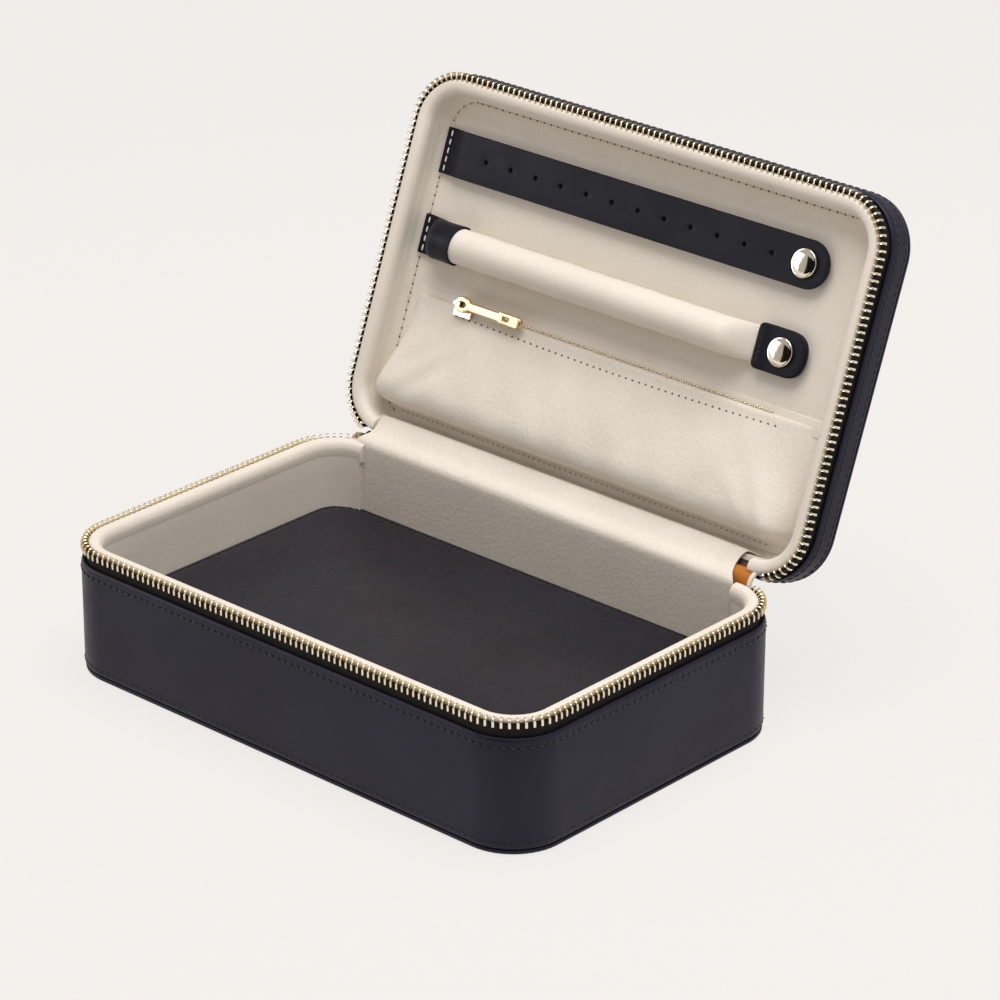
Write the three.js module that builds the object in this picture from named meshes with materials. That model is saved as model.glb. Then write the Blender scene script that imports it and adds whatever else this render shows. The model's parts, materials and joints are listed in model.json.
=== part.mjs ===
// Leather jewellery case with a zip round three sides, standing open.
// Units are millimetres. +Z is up, +X runs along the long side, the front faces -Y and the lid hinges at +Y.
// The origin is the centre of the underside. Lid parts are drawn where they lie with the lid shut,
// and one turned group then opens the lid about the hinge line.
import * as THREE from "three";

// Driving dimensions
const LENGTH = 200;
const DEPTH = 127;
const CORNER = 18.5; // outside radius of the four upright corners
const PARTING = 45; // height of the plane where the two rows of zip teeth meet
const CLOSED_HEIGHT = 61.3;
const LID_OPEN_DEG = 111;
const ZIP_REVEAL = 6; // from the parting plane to the leather's edge, in the base and in the lid
const GAP = 0.3; // between pieces that lie against each other

// Thickness of the wall's layers, outside to inside
const LEATHER = 1.3;
const TAPE = 0.5;
const BOARD = 2.2;
const LINING = 1.3;

const LEATHER_INSET = [0, LEATHER];
const TAPE_INSET = [LEATHER + GAP, LEATHER + GAP + TAPE];
const BOARD_INSET = [TAPE_INSET[1] + GAP, TAPE_INSET[1] + GAP + BOARD];
const LINING_INSET = [BOARD_INSET[1] + GAP, BOARD_INSET[1] + GAP + LINING];
const BEAD_INSET = [3.9, 7.0];
const TEETH_INSET = [0.1, 2.7];

// Heights in the base
const BASE_LEATHER_TOP = PARTING - ZIP_REVEAL;
const BASE_BOARD_TOP = BASE_LEATHER_TOP + 0.5;
const FLOOR_PAD_TOP = 21;
const FLOOR_PAD_THICK = 2.8;
const BOTTOM_BOARD_TOP = LEATHER + GAP + BOARD;

// Heights in the lid, measured with it shut
const LID_LEATHER_LOW = PARTING + ZIP_REVEAL;
const LID_PANEL_LOW = CLOSED_HEIGHT - LEATHER;
const LID_FLOOR = 56.7; // inner face of the lid's floor lining
const LID_FLOOR_THICK = 0.9;
const LID_BOARD_LOW = LID_FLOOR + LID_FLOOR_THICK + GAP;
const LID_WALL_LOW = 50.3;

// Zip: each half is a rail of teeth that stops this far from the parting plane
const TEETH_GAP = 0.7;
const TEETH_TALL = 2.4;
const TAPE_HIDDEN = 6; // how far the tape runs down behind the leather

// Where the zip and the beads stop on the rear corners, as angles round the corner, 90 being straight back
const BASE_ZIP_ENDS = [71.5, 90];
const LID_ZIP_ENDS = [76, 112];
const STOP_SPAN = [72.5, 75];
const BASE_BEAD_ENDS = [90, 90];
const LID_BEAD_ENDS = [85, 120];

// The main slider sits over the base's teeth at the left rear corner; its puller hangs from the crown
const SLIDER = { span: [90, 112], outerPlate: 1.1, innerPlate: 0.6, drop: 3.7, bridge: 0.4 };
const CROWN = { top: 0.6, thick: 0.8, drop: 3.6, room: 1.5, halfWidth: 0.6 };
const PULLER = { long: 20, tipLong: 3, halfWidth: 2.3, halfTip: 1.4, thick: 0.9, bar: 1 };
const PULLER_SLOT = { long: 3.2, halfWidth: 1.2 };

// Soft goods on the lid's floor: v is the distance from the lid's front edge
const STRIP = { left: -90.4, right: 76, v: 27.2, width: 15.4, low: 53.3, high: 54.7 };
const STRIP_HOLES = { count: 12, first: -69.7, pitch: 11.2, radius: 1.1 };
const SNAP_X = 67;
const CAP_RADIUS = 4.9;
const ROLL = { left: -75.2, right: 57.6, v: 56.3, radius: 6.1, core: 4.8 };
const LEFT_TAB = { left: -90.8, right: -75.5, width: 13 };
const RIGHT_TAB = { left: 58, right: 76, width: 13.2 };
const POCKET = { halfLength: 87, top: 79.4, bottom: 117.9, zipV: 76.3 };
const POCKET_TAPE = { halfWidth: 2.8, low: 55.6 };
const POCKET_TEETH = { halfWidth: 1.2, low: 53.9, high: 55.3 };

// The pocket's slider, whose crown and puller lie a little to the front side of the zip
const POCKET_SLIDER = { left: -67, right: -59.5, halfWidth: 2.6, wall: 1.1 };
const POCKET_SLIDER_HEIGHTS = { low: 52.4, floor: 53.6, high: 55.2 };
const POCKET_CROWN = { left: -65.8, right: -63, low: 49.7, thick: 0.8, halfWidth: 0.5, aside: 1.6 };
const POCKET_PULLER = { left: -64.6, neck: -60, right: -37, halfHead: 2.4, half: 1.7, low: 50.8, thick: 0.9 };
const POCKET_PULLER_SLOT = { left: -63.7, right: -61.2, half: 1.3 };

const CORNER_STEPS = 6;
const radians = THREE.MathUtils.degToRad;

const COLOURS = {
  navyLeather: [0x2b2a33, 0.5, 0],
  creamSuede: [0xd9cdb8, 0.95, 0],
  blackTape: [0x141418, 0.9, 0],
  paleGold: [0xd8c08a, 0.25, 1],
  greyBoard: [0x8c8375, 0.9, 0],
  foam: [0xc9c4b6, 0.95, 0],
  tanLeather: [0xb4601f, 0.85, 0],
};

function material(name) {
  const [color, roughness, metalness] = COLOURS[name];
  return new THREE.MeshStandardMaterial({ color, roughness, metalness });
}

function piece(name, geometry, materialName) {
  const mesh = new THREE.Mesh(geometry, material(materialName));
  mesh.name = name;
  return mesh;
}

// One corner's stations, turning from one angle to another about the corner's centre
function cornerStations(sideX, sideY, fromDeg, toDeg) {
  const stations = [];
  for (let i = 0; i <= CORNER_STEPS; i++) {
    stations.push({
      cx: sideX * (LENGTH / 2 - CORNER),
      cy: sideY * (DEPTH / 2 - CORNER),
      angle: radians(fromDeg + ((toDeg - fromDeg) * i) / CORNER_STEPS),
    });
  }
  return stations;
}

// The way round the case, from the right rear corner past the front to the left rear corner
function wayRound([rightEnd, leftEnd]) {
  return [
    ...cornerStations(1, 1, rightEnd, 0),
    ...cornerStations(1, -1, 0, -90),
    ...cornerStations(-1, -1, -90, -180),
    ...cornerStations(-1, 1, 180, leftEnd),
  ];
}

function stationPoint(station, inset) {
  const reach = CORNER - inset;
  return [station.cx + reach * Math.cos(station.angle), station.cy + reach * Math.sin(station.angle)];
}

function signedVolume(positions, triangles) {
  const [a, b, c] = [new THREE.Vector3(), new THREE.Vector3(), new THREE.Vector3()];
  let sum = 0;
  for (let i = 0; i < triangles.length; i += 3) {
    a.fromArray(positions, 3 * triangles[i]);
    b.fromArray(positions, 3 * triangles[i + 1]);
    c.fromArray(positions, 3 * triangles[i + 2]);
    sum += a.dot(b.cross(c));
  }
  return sum / 6;
}

// A section of [inset, height] points carried along the stations; closed makes a full ring
function sweep(points, stations, closed) {
  const outline = points.map(([x, y]) => new THREE.Vector2(x, y));
  const section = THREE.ShapeUtils.isClockWise(outline) ? [...points].reverse() : points;
  const positions = [];
  for (const station of stations) {
    for (const [inset, height] of section) {
      positions.push(...stationPoint(station, inset), height);
    }
  }
  const n = section.length;
  const spans = closed ? stations.length : stations.length - 1;
  const triangles = [];
  for (let s = 0; s < spans; s++) {
    const next = (s + 1) % stations.length;
    for (let k = 0; k < n; k++) {
      const m = (k + 1) % n;
      triangles.push(s * n + k, s * n + m, next * n + m, s * n + k, next * n + m, next * n + k);
    }
  }
  if (!closed) {
    const last = (stations.length - 1) * n;
    const flat = section.map(([x, y]) => new THREE.Vector2(x, y));
    for (const [i, j, k] of THREE.ShapeUtils.triangulateShape(flat, [])) {
      triangles.push(i, k, j, last + i, last + j, last + k);
    }
  }
  if (signedVolume(positions, triangles) < 0) {
    triangles.reverse();
  }
  const geometry = new THREE.BufferGeometry();
  geometry.setAttribute("position", new THREE.Float32BufferAttribute(positions, 3));
  geometry.setIndex(triangles);
  geometry.computeVertexNormals();
  return geometry;
}

function box([insetOut, insetIn], low, high) {
  return [[insetOut, low], [insetIn, low], [insetIn, high], [insetOut, high]];
}

function fullRing(insets, low, high) {
  return sweep(box(insets, low, high), wayRound([90, 90]), true);
}

function openRing(insets, low, high, ends) {
  return sweep(box(insets, low, high), wayRound(ends), false);
}

// A half-round padded rim: flat where it is glued, round where it shows
function beadSection(glued, crown) {
  const [out, inside] = BEAD_INSET;
  const middle = (out + inside) / 2;
  const shoulder = glued + (crown - glued) * 0.6;
  return [[out, glued], [inside, glued], [inside, shoulder], [middle, crown], [out, shoulder]];
}

function plate(inset, low, high) {
  const outline = wayRound([90, 90]).map((s) => new THREE.Vector2(...stationPoint(s, inset)));
  const geometry = new THREE.ExtrudeGeometry(new THREE.Shape(outline.reverse()), {
    depth: high - low,
    bevelEnabled: false,
  });
  return geometry.translate(0, 0, low);
}

function shapeOf(points) {
  return new THREE.Shape(points.map(([x, y]) => new THREE.Vector2(x, y)));
}

function extruded(shape, depth, basis) {
  const geometry = new THREE.ExtrudeGeometry(shape, { depth, bevelEnabled: false, curveSegments: 8 });
  return basis ? geometry.applyMatrix4(basis) : geometry;
}

// A profile of [y, z] points carried along X
function alongX(points, fromX, toX) {
  const basis = new THREE.Matrix4().makeBasis(
    new THREE.Vector3(0, 1, 0),
    new THREE.Vector3(0, 0, 1),
    new THREE.Vector3(1, 0, 0),
  );
  return extruded(shapeOf(points), toX - fromX, basis).translate(fromX, 0, 0);
}

// A profile of [x, z] points carried along Y
function alongY(points, fromY, toY) {
  const basis = new THREE.Matrix4().makeBasis(
    new THREE.Vector3(1, 0, 0),
    new THREE.Vector3(0, 0, 1),
    new THREE.Vector3(0, -1, 0),
  );
  return extruded(shapeOf(points), toY - fromY, basis).translate(0, toY, 0);
}

// A turned profile of [radius, z] points about a vertical line at x, y
function turned(points, x, y, segments = 16) {
  const profile = points.map(([radius, z]) => new THREE.Vector2(radius, z));
  return new THREE.LatheGeometry(profile, segments).rotateX(Math.PI / 2).translate(x, y, 0);
}

function baseShell() {
  return [
    piece("base_bottom_leather", plate(0, 0, LEATHER), "navyLeather"),
    piece("base_bottom_board", plate(TAPE_INSET[0], LEATHER + GAP, BOTTOM_BOARD_TOP), "greyBoard"),
    piece("base_leather_band", fullRing(LEATHER_INSET, LEATHER + GAP, BASE_LEATHER_TOP), "navyLeather"),
    piece("base_wall_board", fullRing(BOARD_INSET, BOTTOM_BOARD_TOP + GAP, BASE_BOARD_TOP), "greyBoard"),
  ];
}

function baseInside() {
  const coreTop = FLOOR_PAD_TOP - FLOOR_PAD_THICK - GAP;
  const bead = beadSection(BASE_BOARD_TOP + GAP, PARTING - 0.4);
  return [
    piece("base_floor_core", plate(LINING_INSET[0], BOTTOM_BOARD_TOP + GAP, coreTop), "foam"),
    piece("base_floor_pad", plate(LINING_INSET[1] + 2 * GAP, coreTop + GAP, FLOOR_PAD_TOP), "navyLeather"),
    piece("base_wall_lining", fullRing(LINING_INSET, coreTop + GAP, BASE_BOARD_TOP), "creamSuede"),
    piece("base_rim_bead", sweep(bead, wayRound(BASE_BEAD_ENDS), false), "creamSuede"),
  ];
}

function baseZip() {
  const teethTop = PARTING - TEETH_GAP;
  const teethLow = teethTop - TEETH_TALL;
  const stop = cornerStations(1, 1, STOP_SPAN[1], STOP_SPAN[0]);
  const tape = openRing(TAPE_INSET, BASE_LEATHER_TOP - TAPE_HIDDEN, teethLow - GAP, BASE_ZIP_ENDS);
  return [
    piece("base_zip_tape", tape, "blackTape"),
    piece("base_zip_teeth", openRing(TEETH_INSET, teethLow, teethTop, BASE_ZIP_ENDS), "paleGold"),
    piece("zip_end_stop", sweep(box(TEETH_INSET, teethLow, teethTop), stop, false), "paleGold"),
  ];
}

function lidShell() {
  const wallTop = LID_FLOOR + LID_FLOOR_THICK;
  return [
    piece("lid_panel_leather", plate(0, LID_PANEL_LOW, CLOSED_HEIGHT), "navyLeather"),
    piece("lid_panel_board", plate(TAPE_INSET[0], LID_BOARD_LOW, LID_PANEL_LOW - GAP), "greyBoard"),
    piece("lid_leather_band", fullRing(LEATHER_INSET, LID_LEATHER_LOW, LID_PANEL_LOW - GAP), "navyLeather"),
    piece("lid_wall_board", fullRing(BOARD_INSET, LID_WALL_LOW, wallTop), "greyBoard"),
  ];
}

function lidInside() {
  const bead = beadSection(LID_WALL_LOW - GAP, PARTING + 0.4);
  const wall = openRing(LINING_INSET, LID_WALL_LOW, LID_FLOOR - GAP, LID_BEAD_ENDS);
  return [
    piece("lid_floor_lining", plate(LINING_INSET[0], LID_FLOOR, LID_FLOOR + LID_FLOOR_THICK), "creamSuede"),
    piece("lid_wall_lining", wall, "creamSuede"),
    piece("lid_rim_bead", sweep(bead, wayRound(LID_BEAD_ENDS), false), "creamSuede"),
  ];
}

function lidZip() {
  const teethLow = PARTING + TEETH_GAP;
  const teethTop = teethLow + TEETH_TALL;
  const tape = openRing(TAPE_INSET, teethTop + GAP, LID_LEATHER_LOW + TAPE_HIDDEN, LID_ZIP_ENDS);
  return [
    piece("lid_zip_tape", tape, "blackTape"),
    piece("lid_zip_teeth", openRing(TEETH_INSET, teethLow, teethTop, LID_ZIP_ENDS), "paleGold"),
  ];
}

// The height and depth of a lid point once the lid is open
function opened([y, z]) {
  const turn = radians(LID_OPEN_DEG);
  const [fromAxisY, fromAxisZ] = [y - DEPTH / 2, z - PARTING];
  return [
    DEPTH / 2 + fromAxisY * Math.cos(turn) + fromAxisZ * Math.sin(turn),
    PARTING - fromAxisY * Math.sin(turn) + fromAxisZ * Math.cos(turn),
  ];
}

// A flexible strip of even thickness along a path of [y, z] points
function stripAlongX(path, thickness, fromX, toX) {
  const curve = new THREE.CatmullRomCurve3(path.map(([y, z]) => new THREE.Vector3(y, z, 0)));
  const steps = 12;
  const near = [];
  const far = [];
  for (let i = 0; i <= steps; i++) {
    const at = curve.getPoint(i / steps);
    const along = curve.getTangent(i / steps);
    near.push([at.x, at.y]);
    far.push([at.x - along.y * thickness, at.y + along.x * thickness]);
  }
  return alongX([...near, ...far.reverse()], fromX, toX);
}

function hinge() {
  const backFace = DEPTH / 2;
  const outer = [
    [backFace - LEATHER, BASE_LEATHER_TOP + GAP],
    [backFace - 0.6, PARTING - 1.8],
    [backFace + 2.2, PARTING + 0.4],
    [backFace + 4.4, PARTING - 0.1],
    opened([backFace, LID_LEATHER_LOW - 2 * GAP]),
  ];
  const baseFace = backFace - BOARD_INSET[1] - GAP;
  const lidFace = backFace - LINING_INSET[1];
  const inner = [
    [baseFace, BASE_BOARD_TOP + GAP],
    [baseFace, PARTING - 1.2],
    [baseFace + 2.8, PARTING + 1],
    opened([lidFace + 0.2, LID_WALL_LOW - 0.4]),
    opened([lidFace, LID_WALL_LOW + 2]),
    opened([lidFace, LID_FLOOR - GAP]),
  ];
  return [
    piece("hinge_leather", stripAlongX(outer, -1.1, -80.5, 84), "tanLeather"),
    piece("hinge_lining", stripAlongX(inner, 0.9, -81, 76), "creamSuede"),
  ];
}

// The slider rides on the corner's arc, so its plates are curved to the same centre
function mainSlider() {
  const outer = TEETH_INSET[0] - GAP;
  const inner = TEETH_INSET[1] + GAP;
  const low = PARTING - SLIDER.drop;
  const roof = PARTING - SLIDER.bridge;
  const top = PARTING + SLIDER.bridge;
  const section = [
    [outer - SLIDER.outerPlate, low],
    [outer, low],
    [outer, roof],
    [inner, roof],
    [inner, low],
    [inner + SLIDER.innerPlate, low],
    [inner + SLIDER.innerPlate, top],
    [outer - SLIDER.outerPlate, top],
  ];
  return sweep(section, cornerStations(-1, 1, SLIDER.span[1], SLIDER.span[0]), false);
}

// A loop that stands on a face with both feet
function loopProfile(face, top) {
  const out = face + CROWN.room;
  const low = top - CROWN.drop;
  return [
    [face, top - CROWN.thick],
    [out, top - CROWN.thick],
    [out, low + CROWN.thick],
    [face, low + CROWN.thick],
    [face, low],
    [out + CROWN.thick, low],
    [out + CROWN.thick, top],
    [face, top],
  ];
}

function slotted(outline, [left, right], [low, high]) {
  const corners = [[left, high], [right, high], [right, low], [left, low]];
  outline.holes.push(new THREE.Path(corners.map(([x, y]) => new THREE.Vector2(x, y))));
  return outline;
}

// The slider's crown is a loop round the puller's crossbar; both are drawn facing straight back
function mainPullerParts() {
  const plateFace = CORNER - TEETH_INSET[0] + GAP + SLIDER.outerPlate;
  const face = plateFace + GAP / 2;
  const { halfWidth, halfTip, bar, long, tipLong } = PULLER;
  const end = -long - tipLong;
  const outline = shapeOf([
    [-halfWidth, bar],
    [-halfWidth, -long],
    [-halfTip, end],
    [halfTip, end],
    [halfWidth, -long],
    [halfWidth, bar],
  ]);
  slotted(outline, [-PULLER_SLOT.halfWidth, PULLER_SLOT.halfWidth], [-PULLER_SLOT.long, 0]);
  const upright = new THREE.Matrix4().makeBasis(
    new THREE.Vector3(1, 0, 0),
    new THREE.Vector3(0, 0, 1),
    new THREE.Vector3(0, -1, 0),
  );
  const hang = PARTING + CROWN.top - CROWN.thick - 1.2;
  const puller = extruded(outline, PULLER.thick, upright).translate(0, face + PULLER.thick + 0.2, hang);
  const crown = alongX(loopProfile(face, PARTING + CROWN.top), -CROWN.halfWidth, CROWN.halfWidth);
  const group = new THREE.Group();
  group.position.set(-(LENGTH / 2 - CORNER), DEPTH / 2 - CORNER, 0);
  group.rotation.z = radians((SLIDER.span[0] + SLIDER.span[1]) / 2 - 90);
  group.add(piece("zip_crown", crown, "paleGold"), piece("zip_puller", puller, "paleGold"));
  return group;
}

function lidY(v) {
  return v - DEPTH / 2;
}

function snapPieces(name, v) {
  const y = lidY(v);
  const socketLow = STRIP.high + 0.2;
  const stud = [
    [0, socketLow + 0.1],
    [1.9, socketLow + 0.1],
    [1.9, LID_FLOOR - 0.7],
    [4, LID_FLOOR - 0.7],
    [4, LID_FLOOR - 0.2],
    [0, LID_FLOOR - 0.2],
  ];
  const socketHigh = socketLow + 0.8;
  const socket = [[2.2, socketLow], [4.6, socketLow], [4.6, socketHigh], [2.2, socketHigh], [2.2, socketLow]];
  const cap = [
    [0, STRIP.low - 1.9],
    [2.4, STRIP.low - 1.6],
    [4.2, STRIP.low - 1.0],
    [CAP_RADIUS, STRIP.low - 0.2],
    [0, STRIP.low - 0.2],
  ];
  return [
    piece(`${name}_snap_stud`, turned(stud, SNAP_X, y), "paleGold"),
    piece(`${name}_snap_socket`, turned(socket, SNAP_X, y), "paleGold"),
    piece(`${name}_snap_cap`, turned(cap, SNAP_X, y), "paleGold"),
  ];
}

// A flat tongue with a round right-hand end, lying at the height of the straps
function tongue(left, right, v, width) {
  const radius = width / 2;
  const shape = new THREE.Shape();
  shape.moveTo(left, lidY(v) - radius);
  shape.lineTo(right - radius, lidY(v) - radius);
  shape.absarc(right - radius, lidY(v), radius, -Math.PI / 2, Math.PI / 2, false);
  shape.lineTo(left, lidY(v) + radius);
  return shape;
}

function earringStrip() {
  const shape = tongue(STRIP.left, STRIP.right, STRIP.v, STRIP.width);
  for (let i = 0; i < STRIP_HOLES.count; i++) {
    const hole = new THREE.Path();
    const x = STRIP_HOLES.first + STRIP_HOLES.pitch * i;
    hole.absarc(x, lidY(STRIP.v), STRIP_HOLES.radius, 0, 2 * Math.PI, true);
    shape.holes.push(hole);
  }
  const geometry = extruded(shape, STRIP.high - STRIP.low).translate(0, 0, STRIP.low);
  return [piece("earring_strip", geometry, "navyLeather"), ...snapPieces("strip", STRIP.v)];
}

function rollProfile(outer, inner) {
  const wall = [[inner, 0], [outer, 0], [outer, 1], [inner, 1]];
  return inner ? [...wall, [inner, 0]] : wall;
}

// A round bar or tube along X at the roll's centre
function rollPart(outer, inner, fromX, toX) {
  const axisHeight = LID_FLOOR - GAP - ROLL.radius;
  const length = toX - fromX;
  const profile = rollProfile(outer, inner).map(([radius, t]) => new THREE.Vector2(radius, t * length));
  const lying = new THREE.LatheGeometry(profile, 16).rotateZ(-Math.PI / 2);
  return lying.translate(fromX, lidY(ROLL.v), axisHeight);
}

function ringRoll() {
  const flat = LID_FLOOR - 0.4;
  const crest = LID_FLOOR - GAP - 2 * ROLL.radius;
  const halfTab = LEFT_TAB.width / 2;
  const leftTab = [
    [LEFT_TAB.left, flat],
    [LEFT_TAB.left, flat - 1.4],
    [LEFT_TAB.left + 5, flat - 2],
    [LEFT_TAB.right - 4, crest + 1],
    [LEFT_TAB.right, crest],
    [LEFT_TAB.right, flat],
  ];
  const rightShape = tongue(RIGHT_TAB.left, RIGHT_TAB.right, ROLL.v, RIGHT_TAB.width);
  const rightTab = extruded(rightShape, STRIP.high - STRIP.low);
  return [
    piece("roll_core", rollPart(ROLL.core, 0, ROLL.left, ROLL.right), "foam"),
    piece("roll_cover", rollPart(ROLL.radius, ROLL.core + GAP, ROLL.left, ROLL.right), "creamSuede"),
    piece("roll_left_tab", alongY(leftTab, lidY(ROLL.v) - halfTab, lidY(ROLL.v) + halfTab), "navyLeather"),
    piece("roll_right_tab", rightTab.translate(0, 0, STRIP.low), "navyLeather"),
    ...snapPieces("roll", ROLL.v),
  ];
}

function pocket() {
  const back = LID_FLOOR - 0.4;
  const pillow = [
    [POCKET.top, back],
    [POCKET.top, 54.4],
    [POCKET.top + 6, 49.8],
    [POCKET.top + 16, 44.9],
    [POCKET.top + 26, 43.9],
    [POCKET.bottom - 4, 47.4],
    [POCKET.bottom, 54],
    [POCKET.bottom, back],
  ].map(([v, z]) => [lidY(v), z]);
  const strip = (halfWidth, low, high) => [
    [lidY(POCKET.zipV) - halfWidth, low],
    [lidY(POCKET.zipV) + halfWidth, low],
    [lidY(POCKET.zipV) + halfWidth, high],
    [lidY(POCKET.zipV) - halfWidth, high],
  ];
  const tape = strip(POCKET_TAPE.halfWidth, POCKET_TAPE.low, back);
  const teeth = strip(POCKET_TEETH.halfWidth, POCKET_TEETH.low, POCKET_TEETH.high);
  const reach = POCKET.halfLength;
  return [
    piece("pocket_pillow", alongX(pillow, -reach, reach), "creamSuede"),
    piece("pocket_zip_tape", alongX(tape, -reach, reach), "creamSuede"),
    piece("pocket_zip_teeth", alongX(teeth, -reach, reach), "paleGold"),
  ];
}

function pocketSlider() {
  const centre = lidY(POCKET.zipV);
  const { halfWidth, wall } = POCKET_SLIDER;
  const { low, floor, high } = POCKET_SLIDER_HEIGHTS;
  const half = halfWidth - wall;
  const channel = [
    [centre - halfWidth, low],
    [centre + halfWidth, low],
    [centre + halfWidth, high],
    [centre + half, high],
    [centre + half, floor],
    [centre - half, floor],
    [centre - half, high],
    [centre - halfWidth, high],
  ];
  const hook = POCKET_CROWN;
  const hookTop = low - GAP / 2;
  const crown = [
    [hook.left, hookTop],
    [hook.left, hook.low],
    [hook.right, hook.low],
    [hook.right, hook.low + hook.thick],
    [hook.left + hook.thick, hook.low + hook.thick],
    [hook.left + hook.thick, hookTop],
  ];
  const { left, neck, right, halfHead } = POCKET_PULLER;
  const outline = shapeOf([
    [left, -halfHead],
    [neck, -halfHead],
    [neck + 1, -POCKET_PULLER.half],
    [right, -POCKET_PULLER.half],
    [right, POCKET_PULLER.half],
    [neck + 1, POCKET_PULLER.half],
    [neck, halfHead],
    [left, halfHead],
  ]);
  const slot = POCKET_PULLER_SLOT;
  slotted(outline, [slot.left, slot.right], [-slot.half, slot.half]);
  const aside = centre - hook.aside;
  const puller = extruded(outline, POCKET_PULLER.thick).translate(0, aside, POCKET_PULLER.low);
  return [
    piece("pocket_slider", alongX(channel, POCKET_SLIDER.left, POCKET_SLIDER.right), "paleGold"),
    piece("pocket_slider_crown", alongY(crown, aside - hook.halfWidth, aside + hook.halfWidth), "paleGold"),
    piece("pocket_puller", puller, "paleGold"),
  ];
}

function openLid() {
  const turn = new THREE.Group();
  turn.position.set(0, DEPTH / 2, PARTING);
  turn.rotation.x = -radians(LID_OPEN_DEG);
  const shut = new THREE.Group();
  shut.position.set(0, -DEPTH / 2, -PARTING);
  shut.add(...lidShell(), ...lidInside(), ...lidZip());
  shut.add(...earringStrip(), ...ringRoll(), ...pocket(), ...pocketSlider());
  turn.add(shut);
  return turn;
}

const group = new THREE.Group();
group.add(...baseShell(), ...baseInside(), ...baseZip(), ...hinge());
group.add(piece("zip_slider", mainSlider(), "paleGold"), mainPullerParts(), openLid());

export default group;
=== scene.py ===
"""A leather jewellery case standing open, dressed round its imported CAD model.

Shapes are worked out in millimetres. Lid pieces are shaped as they lie with the lid shut and are then opened
about the hinge line, as the CAD model does it.
"""
import json
import math

import bmesh
import bpy
import numpy as np
from mathutils import Matrix, Quaternion, Vector


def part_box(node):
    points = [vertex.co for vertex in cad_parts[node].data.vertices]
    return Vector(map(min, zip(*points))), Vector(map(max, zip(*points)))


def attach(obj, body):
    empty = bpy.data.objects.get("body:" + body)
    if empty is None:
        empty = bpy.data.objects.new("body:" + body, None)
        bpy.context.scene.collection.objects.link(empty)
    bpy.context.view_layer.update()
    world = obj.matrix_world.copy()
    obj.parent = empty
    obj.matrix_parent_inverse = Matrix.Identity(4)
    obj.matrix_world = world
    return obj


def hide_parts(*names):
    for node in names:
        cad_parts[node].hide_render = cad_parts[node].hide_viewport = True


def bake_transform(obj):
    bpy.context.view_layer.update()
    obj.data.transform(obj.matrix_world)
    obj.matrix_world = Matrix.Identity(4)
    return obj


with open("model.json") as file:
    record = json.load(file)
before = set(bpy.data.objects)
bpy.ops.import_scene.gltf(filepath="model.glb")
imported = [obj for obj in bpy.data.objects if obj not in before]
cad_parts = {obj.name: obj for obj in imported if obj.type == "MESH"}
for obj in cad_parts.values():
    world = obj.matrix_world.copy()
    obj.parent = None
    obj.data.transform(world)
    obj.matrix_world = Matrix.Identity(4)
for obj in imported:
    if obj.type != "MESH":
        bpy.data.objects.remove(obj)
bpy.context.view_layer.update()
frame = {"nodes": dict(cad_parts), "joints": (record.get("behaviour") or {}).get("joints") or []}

MM = 0.001
CORNER = 18.5  # outside radius of the case's upright corners
JOINTS = {joint["name"]: joint for joint in frame["joints"]}
HINGE = JOINTS["lid_hinge"]
HINGE_POINT = Vector(HINGE["pos_m"])
OPEN = (
    Matrix.Translation(HINGE_POINT)
    @ Matrix.Rotation(-math.radians(HINGE["range_deg"][1]), 4, Vector(HINGE["axis"]))
    @ Matrix.Translation(-HINGE_POINT)
)
OPEN_ARRAY = np.array(OPEN)


def box_mm(node):
    """A node's lowest and highest corner at rest, in millimetres."""
    low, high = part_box(node)
    return np.array(low) / MM, np.array(high) / MM


def shut_mm(node):
    """A lid node's lowest and highest corner with the lid shut, in millimetres."""
    shut = OPEN.inverted()
    points = np.array([shut @ v.co for v in frame["nodes"][node].data.vertices]) / MM
    return points.min(0), points.max(0)


def opened(points):
    """Millimetre points of the shut lid, turned to where they lie with the lid open."""
    points = np.asarray(points, float) * MM
    return (points @ OPEN_ARRAY[:3, :3].T + OPEN_ARRAY[:3, 3]) / MM


LENGTH, DEPTH = (box_mm("base_bottom_leather")[1] - box_mm("base_bottom_leather")[0])[:2]
PARTING = HINGE_POINT.z / MM
BASE_TOP = box_mm("base_leather_band")[1][2]
LID_LOW = shut_mm("lid_leather_band")[0][2]
LID_HIGH = shut_mm("lid_panel_leather")[1][2]
LID_FLOOR = shut_mm("lid_floor_lining")[0][2]
PAD_LOW, PAD_TOP = (corner[2] for corner in box_mm("base_floor_pad"))
BACK = DEPTH / 2
BACK_WALL = BACK - 4.9  # face of the wall behind the hinge, which has no zip tape to make room for

ARC = CORNER * math.pi / 2
SIDE = DEPTH - 2 * CORNER
FRONT = LENGTH - 2 * CORNER
PERIMETER = 4 * ARC + 2 * SIDE + 2 * FRONT
THREE_SIDES = PERIMETER - FRONT  # from the right end of the back, by the front, to its left end
OUTLINE_STEP = 2.0  # between the sections of what runs round the case

PAD_INSET = 6.9  # from the outline to the floor pad's edge
BASE_LINING_INSET = 6.85  # from the outline to the face of the base's wall lining
BASE_LINING_TOP = 41.0
FLOOR_BORDER = 13.5  # from the outline to the lid's flat floor lining
FLOOR_STITCH_INSET = 9.0  # from the outline to the stitches round the lid's floor


# ---- shape helpers, in millimetres


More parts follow.
